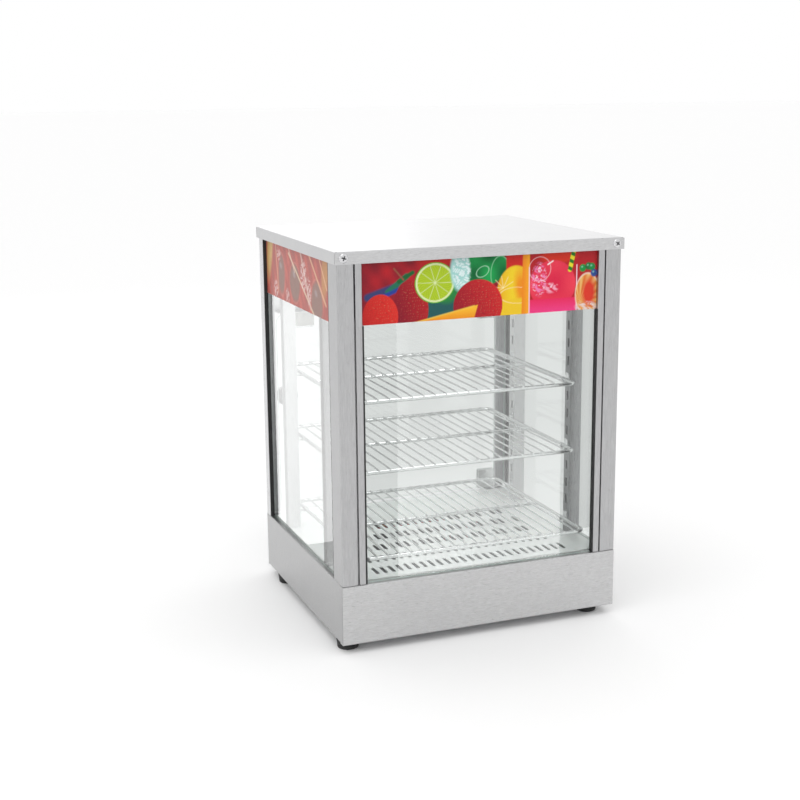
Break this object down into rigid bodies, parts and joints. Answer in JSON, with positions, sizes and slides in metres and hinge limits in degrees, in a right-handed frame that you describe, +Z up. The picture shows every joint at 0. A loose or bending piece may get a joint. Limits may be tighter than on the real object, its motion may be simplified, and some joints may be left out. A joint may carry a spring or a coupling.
{
  "type": "hot food display case",
  "caption": "Countertop heated display case: steel base and posts, glass front and sides, rear glass door, wire shelves, perforated heated deck and printed header banners.",
  "frame": {"origin": "middle of the footprint on the surface the feet stand on", "axes": "+Z up, front (fixed pane, customer side) towards -Y, rear door towards +Y, +X to the right seen from the front"},
  "size_m": [0.385, 0.3602, 0.503],
  "materials": {
    "base_steel": "brushed",
    "zinc_sheet": "zinc-coated, satin",
    "deck_steel": "satin",
    "post_steel": "brushed",
    "roof_steel": "brushed",
    "clear_glass": "polished",
    "black_seal": "matt",
    "printed_banner": "gloss print",
    "pilaster_steel": "satin",
    "plated_wire": "bright plated",
    "black_rubber": "matt",
    "screw_steel": "bright plated",
    "element_sheath": "heat-tinted",
    "grey_plastic": "matt",
    "white_plastic": "matt",
    "copper_tube": "drawn copper",
    "black_plastic": "satin",
    "red_plastic": "gloss",
    "amber_lens": "clear tinted",
    "chrome_fittings": "polished"
  },
  "bodies": {
    "case": {"base_front_panel": "base_steel", "base_left_panel": "base_steel", "base_right_panel": "base_steel", "base_rear_panel": "base_steel", "base_bottom_plate": "zinc_sheet", "deck_plate": "deck_steel", "post_front_left": "post_steel", "post_front_right": "post_steel", "post_rear_left": "post_steel", "post_rear_right": "post_steel", "channel_front_left": "post_steel", "channel_front_right": "post_steel", "roof_cap": "roof_steel", "roof_liner": "roof_steel", "rear_header_panel": "post_steel", "front_glass": "clear_glass", "left_glass": "clear_glass", "right_glass": "clear_glass", "glazing_seals": "black_seal", "front_banner": "printed_banner", "left_banner": "printed_banner", "right_banner": "printed_banner", "pilaster_front_left": "pilaster_steel", "pilaster_front_right": "pilaster_steel", "pilaster_rear_left": "pilaster_steel", "pilaster_rear_right": "pilaster_steel", "shelf_clips": "plated_wire", "shelf_top": "plated_wire", "shelf_middle": "plated_wire", "shelf_bottom": "plated_wire", "foot_front_left": "black_rubber", "foot_front_right": "black_rubber", "foot_rear_left": "black_rubber", "foot_rear_right": "black_rubber", "foot_screws": "screw_steel", "roof_screws": "screw_steel", "panel_screws": "screw_steel", "heating_element": "element_sheath", "element_brackets": "zinc_sheet", "heat_shield_tray": "zinc_sheet", "thermostat_body": "grey_plastic", "thermostat_bulb": "copper_tube", "switch_frame": "black_plastic", "indicator_lamp": "amber_lens", "terminal_block": "white_plastic", "wiring": "red_plastic", "cable_gland": "black_plastic", "gland_nut": "black_plastic", "door_pivot_brackets": "chrome_fittings", "door_catch": "grey_plastic"},
    "rear_door": {"door_glass": "clear_glass", "door_knob": "black_plastic", "door_pivot_clamps": "chrome_fittings", "door_strike_plate": "chrome_fittings"},
    "thermostat_dial": {"thermostat_knob": "black_plastic"},
    "power_rocker": {"switch_rocker": "red_plastic"}
  },
  "joints": [
    {"name": "rear_door_hinge", "type": "hinge", "parent": "case", "child": "rear_door", "pos_m": [0.159, 0.15505, 0.237], "axis": [0, 0, -1], "range_deg": [0, 110]},
    {"name": "thermostat_turn", "type": "hinge", "parent": "case", "child": "thermostat_dial", "pos_m": [-0.06, 0.16905, 0.0505], "axis": [0, 1, 0], "range_deg": [0, 270]},
    {"name": "rocker_tip", "type": "hinge", "parent": "case", "child": "power_rocker", "pos_m": [0.02, 0.15955, 0.0505], "axis": [1, 0, 0], "range_deg": [0, 18]}
  ]
}
